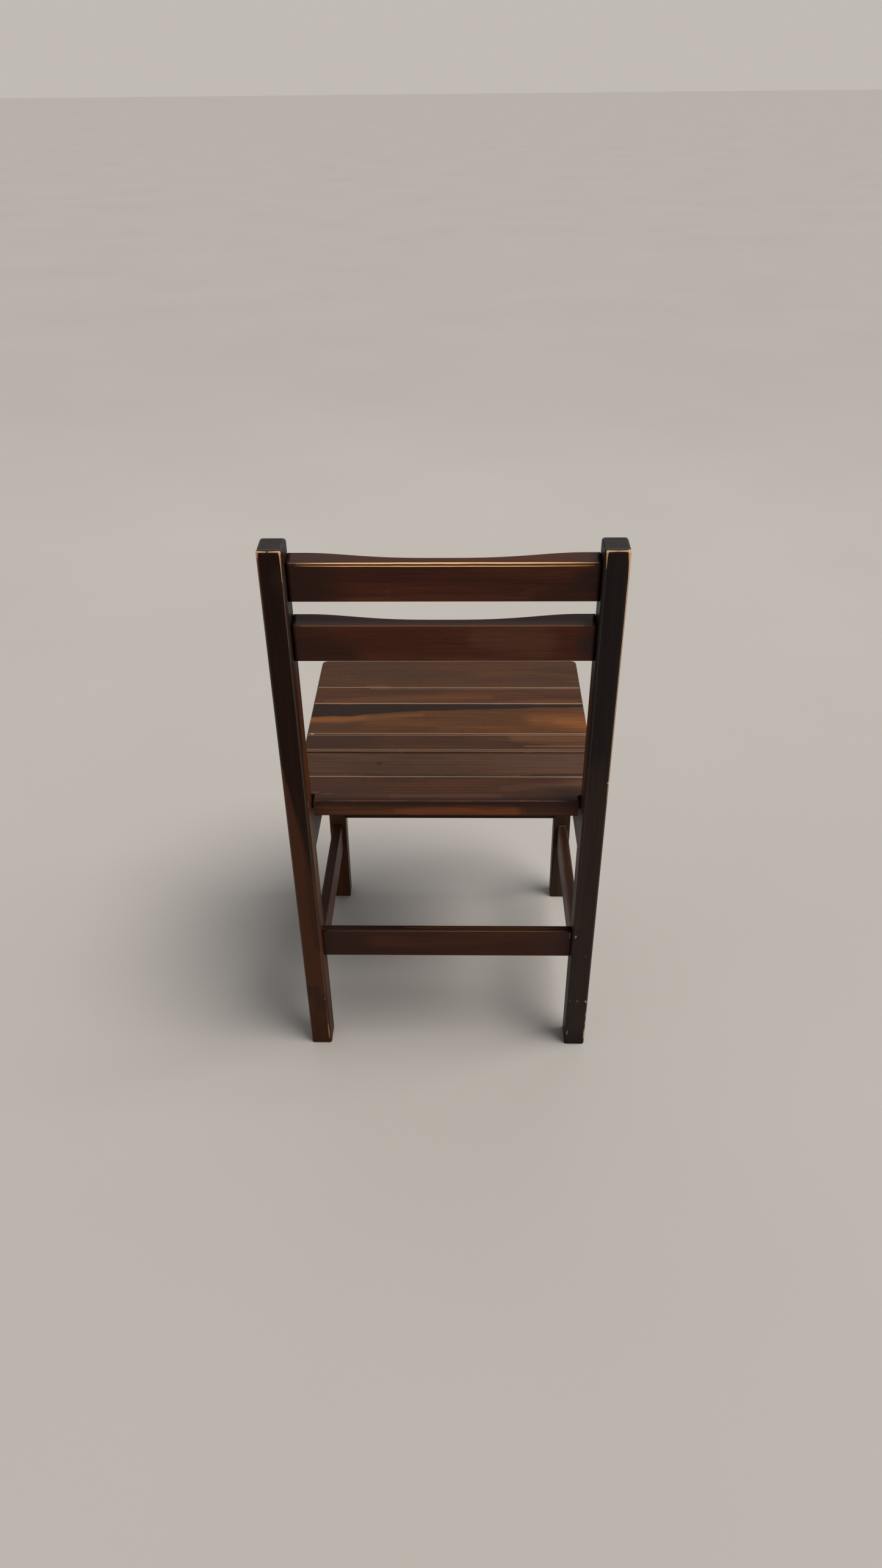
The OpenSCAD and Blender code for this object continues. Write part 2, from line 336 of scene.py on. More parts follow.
timber.links.new(lines.outputs["Fac"], gives["Streaks"])

# A stroke: everything within a tapering radius of a line between two places.
stroke = bpy.data.node_groups.new("stroke", "ShaderNodeTree")
given, gives = group_sockets(
    stroke,
    {"Vector": "vector", "From": "vector", "To": "vector", "Start": "number",
     "End": "number", "Softness": "number"},
    {"Mask": "number"})
run = vectors(stroke, "SUBTRACT", given["To"], given["From"])
away = vectors(stroke, "SUBTRACT", given["Vector"], given["From"])
reach = vectors(stroke, "DOT_PRODUCT", away, run, output="Value")
square = vectors(stroke, "DOT_PRODUCT", run, run, output="Value")
share = reckoned(stroke, "DIVIDE", reach, square, clamp=True)
gap = vectors(stroke, "DISTANCE", away, vectors(stroke, "SCALE", run, share), output="Value")
radius = ranged(stroke, share, 0.0, 1.0, given["Start"], given["End"])
mask = ranged(stroke, reckoned(stroke, "DIVIDE", gap, radius),
              reckoned(stroke, "SUBTRACT", 1.0, given["Softness"]),
              reckoned(stroke, "ADD", 1.0, given["Softness"]), 1.0, 0.0, "SMOOTHSTEP")
stroke.links.new(mask, gives["Mask"])

# Finish rubbed through: an orange rim where the stain thins, then bare wood.
rubbed = bpy.data.node_groups.new("rubbed_through", "ShaderNodeTree")
given, gives = group_sockets(
    rubbed,
    {"Color": "colour", "Vector": "vector", "Rub": "number", "Breakup": "number",
     "Rim": "colour", "Bare": "colour"},
    {"Color": "colour", "Mask": "number"})
crumbs = add(rubbed, "ShaderNodeTexNoise", {
    "Vector": given["Vector"], "Scale": 420.0, "Detail": 3.0, "Roughness": 0.6})
ragged = reckoned(rubbed, "ADD", given["Rub"],
                  centred(rubbed, crumbs.outputs["Fac"], given["Breakup"]))
thin = ranged(rubbed, ragged, 0.12, 0.5, curve="SMOOTHSTEP")
through = ranged(rubbed, ragged, 0.42, 0.85, curve="SMOOTHSTEP")
rimmed = mixed(rubbed, thin, given["Color"], given["Rim"])
rubbed.links.new(mixed(rubbed, through, rimmed, given["Bare"]), gives["Color"])
rubbed.links.new(through, gives["Mask"])

rim_orange = (156, 84, 40)
bare_wood = (226, 182, 134)
broad_stroke = 0.003  # a stroke with a larger radius than this is a broad stain


def as_given(*point):
    """Leaves a stop's numbers as they are, for paths drawn in x, y and z."""
    return point


def stained_wood(name, turn, shift, tones, drift=1.1, lines=0.75, pores=0.5,
                 gloss=(0.36, 0.48), shine=0.1, bump=0.25, arris=0.2, polish=0.5,
                 stains=(), rubs=(), bare=bare_wood, place=as_given):
    """Stained and lacquered wood. turn lays the grain along the piece, and shift picks
    its own figure. A stain is (path, softness, colour, strength) and a rub is (path,
    softness, strength). A path is a list of stops: each ends in its radius, and place
    makes a point of the numbers before that. Colours are as a screen shows them."""
    material, tree, shader = new_material(name)
    where = add(tree, "ShaderNodeTexCoord").outputs["Object"]
    grain = add(tree, "ShaderNodeMapping", {
        "Vector": where, "Rotation": turn, "Location": shift}).outputs[0]
    dark, middle, light = (display(*tone) for tone in tones)
    wood = add(tree, "ShaderNodeGroup", {
        "Vector": grain, "Dark": dark, "Middle": middle, "Light": light,
        "Drift": drift, "Lines": lines, "Pores": pores}, node_tree=timber)
    colour = wood.outputs["Color"]
    # hand-worked marks never have ruled edges: the coordinates wander a little
    wander = add(tree, "ShaderNodeTexNoise", {
        "Vector": stretched(tree, grain, 30, 160), "Scale": 1.0, "Detail": 3.0})
    push = vectors(tree, "SUBTRACT", wander.outputs["Color"], (0.5, 0.5, 0.5))

    def wandering(amount):
        """Object coordinates that wander by an amount."""
        return vectors(tree, "ADD", where, vectors(tree, "SCALE", push, amount))

    def path_mask(vector, path, softness, strength):
        """The strongest stroke of a path at each spot, times its strength."""
        strongest = None
        for (*start, r0), (*end, r1) in zip(path, path[1:] or path):
            mask = add(tree, "ShaderNodeGroup", {
                "Vector": vector, "From": place(*start), "To": place(*end),
                "Start": r0, "End": r1, "Softness": softness}, node_tree=stroke).outputs[0]
            strongest = mask if strongest is None else reckoned(
                tree, "MAXIMUM", strongest, mask)
        return reckoned(tree, "MULTIPLY", strongest, strength)

    def feathered(mask):
        """Lets the grain break up the soft edge of a broad stain."""
        slope = reckoned(tree, "MULTIPLY", reckoned(tree, "SUBTRACT", 1.0, mask), mask)
        swing = centred(tree, wood.outputs["Streaks"], 6.0)
        return reckoned(tree, "MULTIPLY_ADD", swing, slope, mask, clamp=True)

    wide, fine = wandering(0.006), wandering(0.0009)
    for path, softness, stain_colour, strength in stains:
        broad = max(stop[-1] for stop in path) > broad_stroke
        mask = path_mask(wide if broad else fine, path, softness, strength)
        if broad:
            mask = feathered(mask)
        colour = mixed(tree, mask, colour, display(*stain_colour))
    # every rounded arris has a little less stain, more in some places than in others
    marked = add(tree, "ShaderNodeAttribute", attribute_name="arris").outputs["Fac"]
    patchy = add(tree, "ShaderNodeTexNoise", {
        "Vector": where, "Scale": 28.0, "Detail": 4.0, "Roughness": 0.7})
    patches = ranged(tree, patchy.outputs["Fac"], 0.38, 0.7, high=arris)
    rub = reckoned(tree, "MULTIPLY", marked, patches)
    for path, softness, strength in rubs:
        rub = reckoned(tree, "MAXIMUM", rub, path_mask(fine, path, softness, strength))
    worn = add(tree, "ShaderNodeGroup", {
        "Color": colour, "Vector": grain, "Rub": rub, "Breakup": 0.22,
        "Rim": display(*rim_orange), "Bare": display(*bare)}, node_tree=rubbed)
    satin = ranged(tree, wood.outputs["Gloss"], 0.3, 0.7, *gloss)
    dull = reckoned(tree, "MULTIPLY_ADD", worn.outputs["Mask"], 0.25, satin)
    # handling polishes the lacquer on the arrises
    polished = reckoned(tree, "MULTIPLY", marked, polish)
    height = reckoned(tree, "MULTIPLY_ADD", worn.outputs["Mask"], -1.5, wood.outputs["Height"])
    raised = add(tree, "ShaderNodeBump", {
        "Height": height, "Strength": bump, "Distance": 0.0003}).outputs["Normal"]
    feed(tree, shader, {
        "Base Color": worn.outputs["Color"], "Roughness": dull, "Specular IOR Level": shine,
        "Coat Weight": polished, "Coat Roughness": 0.3, "Normal": raised})
    return material


upright_turn = (rake, math.pi / 2, 0)
top = post_length
post_mid = (post_inner + post_outer) / 2
half_depth = post_depth / 2
crown = 0.3  # a ball this large just dips into the top's flat end grain
# grey of the post tops: dark end grain, with painted sheen of the lacquer
end_grain_and_sheen = (58, 53, 53)
# pale lines along rounded arrises: worn lacquer, and painted highlight of the roundings
arris_wear_and_highlight = (128, 108, 92)
set_in = post_ease * (1 - math.sqrt(0.5))  # from the square corner to the rounding's middle
inner_arris, outer_arris = post_inner + 0.0031, post_outer - set_in
skin = 0.0001  # as deep as the finish
crest = top - set_in


def down_arris(x, *stops):
    """A path on a post's rear rounding through (along, radius) stops."""
    depth = set_in if x == outer_arris else skin
    return [(x, depth, *stop) for stop in stops]


def along_crest(start, end, r0, r1):
    """A path on the rear rounding of a post's top."""
    return [(start, set_in, crest, r0), (end, set_in, crest, r1)]


# stops on the posts are (across, depth, along, radius)
left_stains = (
    # warmer brown below the seat, on a long slant
    ([(post_outer, 0, 0.535, 0.001), (post_outer - 0.002, 0, 0.43, 0.011),
      (post_outer - 0.009, 0.003, 0.34, 0.0175), (post_mid, 0.012, 0.27, 0.030),
      (post_mid, half_depth, 0.0, 0.05)], 0.35, (77, 45, 29), 0.95),
    ([(post_inner, 0.026, 0.69, 0.007), (post_inner, 0.023, 0.62, 0.015),
      (post_inner, 0.021, 0.50, 0.0175), (post_inner, 0.021, 0.30, 0.018)],
     0.3, (92, 53, 27), 0.85),
    ([(post_inner, 0.020, 0.78, 0.020), (post_inner, 0.020, 0.72, 0.012)],
     0.5, (62, 52, 50), 0.6),
    ([(post_mid, half_depth, -0.03, 0.105)], 0.25, (54, 32, 20), 0.5),
    # the top's end grain, grey with painted sheen
    ([(post_mid, half_depth, top + crown, crown + 0.0012)], 0.0008, end_grain_and_sheen, 0.9),
    # pale lines on the top's rear rounding and down the rear arrises: worn lacquer, and painted
    # highlight of the roundings
    ([(post_inner + 0.004, 0.0044, top, 0.0005), (post_outer - 0.004, 0.0044, top, 0.0005)],
     0.6, arris_wear_and_highlight, 0.45),
    (down_arris(outer_arris, (top - 0.03, 0.0007), (0.5, 0.0006), (0.02, 0.0007)),
     0.5, arris_wear_and_highlight, 0.35),
    (down_arris(inner_arris, (top - 0.03, 0.0005), (top - 0.12, 0.0003)),
     0.5, (136, 102, 78), 0.6),
    (down_arris(inner_arris, (top - 0.05, 0.0007), (0.5, 0.0006), (0.02, 0.0008)),
     0.5, arris_wear_and_highlight, 0.28),
    ([(post_inner + 0.007, 0, 0.42, 0.003), (post_inner + 0.008, 0, 0.30, 0.006),
      (post_inner + 0.007, 0, 0.20, 0.004)], 0.9, (48, 33, 26), 0.55),
    ([(post_outer - 0.010, 0, 0.115, 0.010), (post_inner + 0.008, 0, 0.085, 0.012)],
     0.9, (46, 33, 26), 0.55),
    ([(post_inner, 0.004, 0.462, 0.0009), (post_inner, 0.005, 0.452, 0.0007)],
     0.4, (170, 158, 148), 0.7),
    ([(post_inner, 0.007, 0.446, 0.0008), (post_inner, 0.006, 0.439, 0.0006)],
     0.4, (150, 128, 112), 0.6),
    (down_arris(inner_arris, (0.042, 0.0005), (0.028, 0.0010), (0.012, 0.0008)),
     0.5, (170, 138, 98), 0.7),
    ([(post_inner - 0.0005, 0.010, 0.466, 0.0011)], 0.3, (150, 88, 50), 0.9),
    ([(post_outer - 0.009, 0, 0.1275, 0.0008)], 0.4, arris_wear_and_highlight, 0.6),
    ([(post_inner + 0.004, 0, 0.096, 0.0009)], 0.3, (190, 150, 110), 0.6),
)
left_rubs = (
    (along_crest(inner_arris, post_outer - 0.0145, 0.0009, 0.0005), 0.4, 0.95),
    (along_crest(post_outer - 0.0118, outer_arris, 0.0005, 0.0009), 0.4, 0.95),
    (down_arris(inner_arris, (crest, 0.0019), (top - 0.005, 0.0010), (top - 0.016, 0.0005),
                (top - 0.038, 0.0002)), 0.45, 0.85),
    (down_arris(outer_arris, (crest, 0.0023), (top - 0.007, 0.0018)), 0.4, 0.9),
    (down_arris(outer_arris, (top - 0.007, 0.0019), (top - 0.016, 0.0013),
                (top - 0.034, 0.0006), (top - 0.11, 0.0004)), 0.5, 0.5),
)
right_stains = (
    ([(post_mid, half_depth, 0.55, 0.012), (post_mid, half_depth, 0.42, 0.045),
      (post_mid, half_depth, 0.06, 0.045)], 0.5, (57, 45, 38), 0.75),
    ([(post_inner, 0.024, 0.72, 0.004), (post_inner, 0.022, 0.62, 0.013),
      (post_inner, 0.020, 0.46, 0.016)], 0.3, (66, 38, 24), 0.7),
    ([(post_inner, 0.024, 0.52, 0.006), (post_inner, 0.022, 0.475, 0.012)],
     0.5, (104, 60, 34), 0.6),
    ([(post_inner, 0.020, 0.43, 0.014), (post_inner, 0.020, 0.25, 0.018)],
     0.6, (80, 62, 52), 0.7),
    # the top's end grain, grey with painted sheen
    ([(post_mid, half_depth, top + crown, crown + 0.0012)], 0.0008, end_grain_and_sheen, 0.9),
    # pale lines on the top's rear rounding and down the rear arrises: worn lacquer, and painted
    # highlight of the roundings
    ([(post_inner + 0.004, 0.0046, top, 0.0005), (post_outer - 0.004, 0.0046, top, 0.0005)],
     0.6, arris_wear_and_highlight, 0.45),
    (down_arris(inner_arris, (top - 0.02, 0.0005), (0.5, 0.0004), (0.34, 0.0003)),
     0.5, arris_wear_and_highlight, 0.15),
    (down_arris(outer_arris, (0.68, 0.0008), (0.42, 0.0006)), 0.5, (132, 104, 80), 0.5),
    (down_arris(outer_arris, (0.42, 0.0006), (0.02, 0.0005)), 0.5, (120, 98, 80), 0.3),
    # chips and scuffs down to the pale wood
    (down_arris(outer_arris, (0.4955, 0.0016)), 0.3, (206, 190, 172), 0.9),
    ([(post_inner + 0.0045, 0, 0.2275, 0.0011), (post_inner + 0.0038, 0, 0.2245, 0.0007)],
     0.4, (176, 170, 162), 0.75),
    ([(post_inner + 0.021, 0, 0.1875, 0.0008)], 0.5, (150, 146, 140), 0.5),
    ([(post_inner + 0.0035, 0, 0.0945, 0.0008)], 0.5, (160, 150, 140), 0.6),
    ([(post_inner + 0.0145, 0, 0.0950, 0.0014)], 0.7, (126, 120, 116), 0.6),
    ([(post_inner + 0.018, 0, 0.0945, 0.0004), (post_outer - 0.006, 0, 0.0945, 0.0004)],
     0.5, (104, 58, 44), 0.5),
    ([(post_outer - 0.0035, 0, 0.0950, 0.0016), (post_outer - 0.002, 0, 0.0915, 0.0013)],
     0.35, (176, 110, 84), 0.85),
    ([(post_outer - 0.0032, 0, 0.0948, 0.0008)], 0.4, (214, 196, 180), 0.8),
    (down_arris(outer_arris, (0.070, 0.0005), (0.062, 0.0009)), 0.4, (188, 160, 130), 0.7),
    (down_arris(outer_arris, (0.050, 0.0007), (0.044, 0.0005)), 0.4, (176, 142, 108), 0.7),
    (down_arris(outer_arris, (0.032, 0.0008), (0.024, 0.0013), (0.012, 0.0009)),
     0.4, (204, 168, 124), 0.75),
    (down_arris(inner_arris, (0.030, 0.0006), (0.022, 0.0009)), 0.4, (184, 146, 104), 0.7),
)
right_rubs = (
    (along_crest(inner_arris, post_mid, 0.0010, 0.0005), 0.4, 0.95),
    (along_crest(post_mid, outer_arris, 0.0005, 0.0010), 0.4, 0.95),
    (down_arris(inner_arris, (crest, 0.0018), (top - 0.004, 0.0011), (top - 0.010, 0.0006),
                (top - 0.022, 0.0002)), 0.45, 0.8),
    (down_arris(outer_arris, (crest, 0.0030), (top - 0.006, 0.0026), (top - 0.017, 0.0014),
                (top - 0.035, 0.0008), (top - 0.08, 0.0006), (0.60, 0.0005), (0.47, 0.0003)),
     0.4, 0.95),
)
left_tones = ((26, 16, 13), (42, 25, 18), (60, 36, 24))
right_tones = ((27, 21, 22), (41, 33, 33), (56, 45, 43))
for side, name, tones, polish, stains, rubs in (
        (1, "post_left", left_tones, 0.4, left_stains, left_rubs),
        (-1, "post_right", right_tones, 0.2, right_stains, right_rubs)):

    def on_this_post(x, depth, along):
        """A point on this post, with x outwards."""
        return on_post(side * x, depth, along)

    inner, outer = side * post_inner, side * post_outer
    bm = box_of((min(inner, outer), -post_depth, -spare_foot),
                (max(inner, outer), 0, post_length))
    ease(bm, edges_along(bm, 2) + edges_at(bm, 2, post_length), post_ease)
    lean(bm)
    bmesh.ops.bisect_plane(bm, geom=bm.verts[:] + bm.edges[:] + bm.faces[:],
                           plane_co=(0, 0, 0), plane_no=(0, 0, 1), clear_inner=True)
    foot_edges = [e for e in bm.edges if e.is_boundary]
    bmesh.ops.contextual_create(bm, geom=foot_edges)
    ease(bm, [e for e in foot_edges if e.is_valid], foot_ease, 3)
    piece_from(bm, name, stained_wood(
        name + "_stain", upright_turn, (0.3 * side, 0.7, 0.1 * side), tones,
        drift=0.9, lines=0.6, shine=0.05, polish=polish, stains=stains, rubs=rubs,
        place=on_this_post))

# ---------------------------------------------------------------- front legs
# Square legs of the same dark wood, tenoned for the aprons and stretchers,
# with softly rounded arrises and feet.

leg_width = 0.028
leg_ease = 0.0026
left_leg_tones = ((52, 32, 22), (86, 53, 36), (108, 68, 46))
right_leg_tones = ((36, 26, 21), (58, 42, 34), (80, 58, 46))
for side, name, tones in ((1, "front_leg_left", left_leg_tones),
                          (-1, "front_leg_right", right_leg_tones)):
    low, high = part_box(name)
    bm = box_of(low, high)
    ease(bm, edges_along(bm, 2), leg_ease, 4)
    ease(bm, edges_at(bm, 2, low.z), foot_ease, 3)
    piece_from(bm, name, stained_wood(
        name + "_stain", (0, math.pi / 2, 0), (0.9 * side, 0.2, 0.4), tones,
        drift=1.0, lines=0.7, shine=0.07))

# ---------------------------------------------------------------- back slats
# Two slats between the posts, flat behind and hollowed in front for the
# sitter's back. The upper one's rear arris is worn to a double gold line.

slat_recess = 0.007
slat_height = 0.048
slat_end = 0.029
slat_middle = 0.015
hollow_margin = 0.018
slat_run = post_inner - hollow_margin
slat_cuts = 59
slack = 1e-4
slat_ease, slat_front_ease = 0.0019, 0.0012
joint_line = 0.0002


def slat_thickness(x):
    """How thick a slat is at a place across: the hollow is deepest in the middle."""
    share = min(1.0, abs(x) / slat_run)
    rise = (1 - math.cos(math.pi * share ** 1.5)) / 2
    return slat_middle + (slat_end - slat_middle) * rise


top_slat_high = 0.795
slat_gap = 0.030
top_slat_low = top_slat_high - slat_height
lower_slat_low = top_slat_low - slat_gap - slat_height
slat_tones = ((50, 27, 20), (78, 41, 28), (102, 56, 35))
slat_dark = (44, 28, 22)
slat_grey = (52, 38, 34)


def on_slat(x, along, depth=slat_recess):
    """A point on a slat's back face, or deeper: x across, along up the posts."""
    return on_post(x, depth, along)


def slat_joint(side, low):
    """The dark line where a slat meets a post: old stain, and painted shade of the joint."""
    x = side * (post_inner - 0.0004)
    return [(x, low, 0.0014), (x, low + slat_height, 0.0014)], 0.5, (16, 11, 10), 0.85


def slat_ridge(side, edge):
    """Painted highlight on the corner of a slat's end, beside the post."""
    x = side * (post_inner - 0.0016)
    return ([(x, edge, slat_recess + 0.004, 0.0006), (x, edge, front_of_slat - 0.004, 0.0007)],
            0.5, arris_wear_and_highlight, 0.6)


def slat_top(edge, *stops):
    """A broad path on a slat's top face through (across, dip) stops."""
    return [(x, edge + crown, slat_core, crown + dip) for x, dip in stops]


def slat_arris(edge, drop, depth, *stops):
    """A path along a slat's upper rear rounding through (across, radius) stops."""
    return [(x, edge - drop, slat_recess + depth, radius) for x, radius in stops]


top_edge = top_slat_low + slat_height
lower_edge = lower_slat_low + slat_height
front_of_slat = slat_recess + slat_end
slat_core = front_of_slat - 0.014
# stops on the slats are (across, along, radius), or (across, along, depth, radius)
top_slat_stains = (
    ([(0.20, top_slat_low + 0.020, 0.060), (0.165, top_slat_low + 0.010, 0.045)],
     0.6, slat_dark, 0.75),
    ([(-0.20, top_slat_low + 0.010, 0.040), (-0.11, top_slat_low, 0.012)],
     0.7, slat_dark, 0.55),
    (slat_top(top_edge, (0.19, 0.0012), (0.12, 0.0006)), 0.001, (66, 42, 36), 0.8),
    (slat_top(top_edge, (-0.19, 0.0012), (-0.15, 0.0006)), 0.001, (64, 42, 36), 0.7),
    # the thinned stain between the two worn lines of the arris
    (slat_arris(top_edge, 0.0006, 0.0005, (0.163, 0.0011), (0.14, 0.0019), (-0.15, 0.0019),
                (-0.166, 0.0011)), 0.3, (118, 68, 32), 0.85),
    ([(0.14, top_edge - 0.0026, 0.0009), (-0.14, top_edge - 0.0028, 0.0011)],
     0.4, (108, 62, 30), 0.8),
    ([(-0.20, top_slat_low + 0.030, 0.034), (-0.158, top_slat_low + 0.026, 0.012)],
     0.8, (46, 31, 27), 0.6),
    ([(0.064, top_slat_low + 0.0130, 0.0009)], 0.5, arris_wear_and_highlight, 0.45),
    slat_joint(1, top_slat_low), slat_joint(-1, top_slat_low),
    slat_ridge(1, top_edge), slat_ridge(-1, top_edge),
)
top_slat_rubs = (
    (slat_arris(top_edge, 0.0002, 0.0014, (0.174, 0.0001), (0.150, 0.0004), (0.12, 0.0008),
                (0.02, 0.0012), (-0.10, 0.0010), (-0.14, 0.0007), (-0.162, 0.0003),
                (-0.176, 0.0001)), 0.4, 1.0),
    ([(0.168, top_edge - 0.0026, 0.0001), (0.148, top_edge - 0.0029, 0.0003),
      (0.11, top_edge - 0.0032, 0.0006), (0.0, top_edge - 0.0035, 0.0008),
      (-0.10, top_edge - 0.0035, 0.0007), (-0.145, top_edge - 0.0032, 0.0004),
      (-0.168, top_edge - 0.0030, 0.0001)], 0.4, 0.95),
)
lower_slat_stains = (
    ([(0.20, lower_slat_low + 0.02, 0.050), (0.13, lower_slat_low, 0.030)],
     0.6, slat_dark, 0.6),
    ([(-0.20, lower_slat_low + 0.02, 0.038), (-0.172, lower_slat_low + 0.024, 0.018)],
     0.6, slat_grey, 0.8),
    slat_joint(1, lower_slat_low), slat_joint(-1, lower_slat_low),
    slat_ridge(1, lower_edge), slat_ridge(-1, lower_edge),
    ([(-0.04, lower_slat_low + 0.030, 0.012), (-0.11, lower_slat_low + 0.026, 0.020)],
     0.6, (98, 62, 46), 0.6),
    (slat_top(lower_edge, (0.19, 0.0012), (-0.19, 0.0012)), 0.001, (74, 54, 49), 0.8),
    # painted highlight along the upper rear rounding
    (slat_arris(lower_edge, 0.0006, 0.0006, (0.165, 0.0010), (-0.16, 0.0010)),
     0.4, (124, 92, 72), 0.5),
)
for name, z, shift, stains, rubs in (
        ("top_slat", top_slat_low, (0.0, 0.0, 0.0), top_slat_stains, top_slat_rubs),
        ("lower_slat", lower_slat_low, (1.7, 0.4, 0.2), lower_slat_stains, ())):
    reach = post_inner - joint_line
    bm = box_of((-reach, -slat_recess - slat_end, z), (reach, -slat_recess, z + slat_height))
    bmesh.ops.subdivide_edges(bm, edges=edges_along(bm, 0), cuts=slat_cuts, use_grid_fill=True)
    for vert in bm.verts:
        if vert.co.y < -slat_recess - slat_end / 2:
            vert.co.y = -slat_recess - slat_thickness(vert.co.x)
    across = [e for e in edges_at(bm, 2, z, slack) + edges_at(bm, 2, z + slat_height, slack)
              if abs(e.verts[0].co.x - e.verts[1].co.x) > slack]
    back = [e for e in across if all(v.co.y > -slat_recess - slack for v in e.verts)]
    front = [e for e in across if all(v.co.y < -slat_recess - slat_middle / 2 for v in e.verts)]
    ease(bm, back, slat_ease, 4)
    ease(bm, front, slat_front_ease, 3)
    lean(bm)
    piece_from(bm, name, stained_wood(
        name + "_stain", (0, 0, 0), shift, slat_tones, lines=0.9, shine=0.08, polish=0.3,
        stains=stains, rubs=rubs, bare=(246, 202, 148), place=on_slat))

# ---------------------------------------------------------------- seat boards
# Six boards edge to edge across the chair, their long upper edges rounded,
# screwed to the cleats from below; the rearmost is notched round the posts.

seat_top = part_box("seat_board_1")[1].z
seat_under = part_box("seat_board_1")[0].z
board_widths = (0.0945, 0.0513, 0.0904, 0.0509, 0.0653, 0.0566)
seat_front_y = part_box("seat_board_1")[0].y
seat_rear_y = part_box("seat_board_6")[1].y
seat_rear_half = 0.2005
seat_front_half = 0.2035
board_ease = 0.0021
notch_half = post_inner - 0.0035
notch_y = back_y - 0.007
closed_seam = 0.0003
open_seam = 0.0018
open_board = 4  # the seam behind this board has opened
front_corner = 0.009
under_ease = 0.0008


def seat_half(y):
    """Half the seat's width at a place from front to rear."""
    share = (y - seat_front_y) / (seat_rear_y - seat_front_y)
    return seat_front_half + (seat_rear_half - seat_front_half) * share


def board_from(outline, low, high):
    """A board: its outline drawn flat, then raised to its thickness."""
    bm = bmesh.new()
    bm.verts.layers.float.new("arris")
    ring = [bm.verts.new((x, y, low)) for x, y in outline]
    bmesh.ops.contextual_create(bm, geom=ring)
    raised = bmesh.ops.extrude_face_region(bm, geom=bm.faces[:])["geom"]
    bmesh.ops.translate(bm, vec=(0, 0, high - low),
                        verts=[g for g in raised if isinstance(g, bmesh.types.BMVert)])
    bmesh.ops.recalc_face_normals(bm, faces=bm.faces)
    return bm


board_tones = (
    ((54, 33, 21), (80, 51, 31), (106, 67, 38)),
    ((54, 32, 20), (79, 48, 28), (110, 65, 34)),
    ((64, 36, 19), (92, 56, 29), (120, 74, 37)),
    ((49, 29, 20), (75, 46, 28), (104, 64, 36)),
    ((62, 41, 29), (88, 58, 41), (112, 77, 55)),
    ((54, 32, 20), (81, 48, 31), (109, 65, 39)),
)
seam_tan = (166, 136, 114)
seat_dark = (40, 26, 19)


def on_seat(x, y, z=seat_top):
    """A point on the seat's top face, or at another height."""
    return (x, y, z)


def rear_face(*stops):
    """A path on the seat's rear edge through (across, height, radius) stops."""
    return [(x, seat_rear_y, z, radius) for x, z, radius in stops]


def seam_line(y, drop, strength, left=0.20, right=-0.20, radius=0.0007, tint=seam_tan):
    """A line beside a seam, pale wear by default, painted shade with a dark tint: its place,
    and how far down the rounding it is.
    """
    z = seat_top - drop
    return [(left, y, z, radius), (right, y, z, radius)], 0.5, tint, strength


def shaded_front(y):
    """Painted shade on the rounding of a board's front edge, down in the seam."""
    return seam_line(y, 0.0016, 0.9, radius=0.0015, tint=(22, 14, 11))


seam_y = [seat_front_y]
for width in board_widths:
    seam_y.append(seam_y[-1] + width)
past = board_ease * 1.1  # the pale lines beside a seam lie just past its rounding
second_line = 0.0062  # from the open seam to the further of its two pale lines
set_down = board_ease * (1 - math.sqrt(0.5))
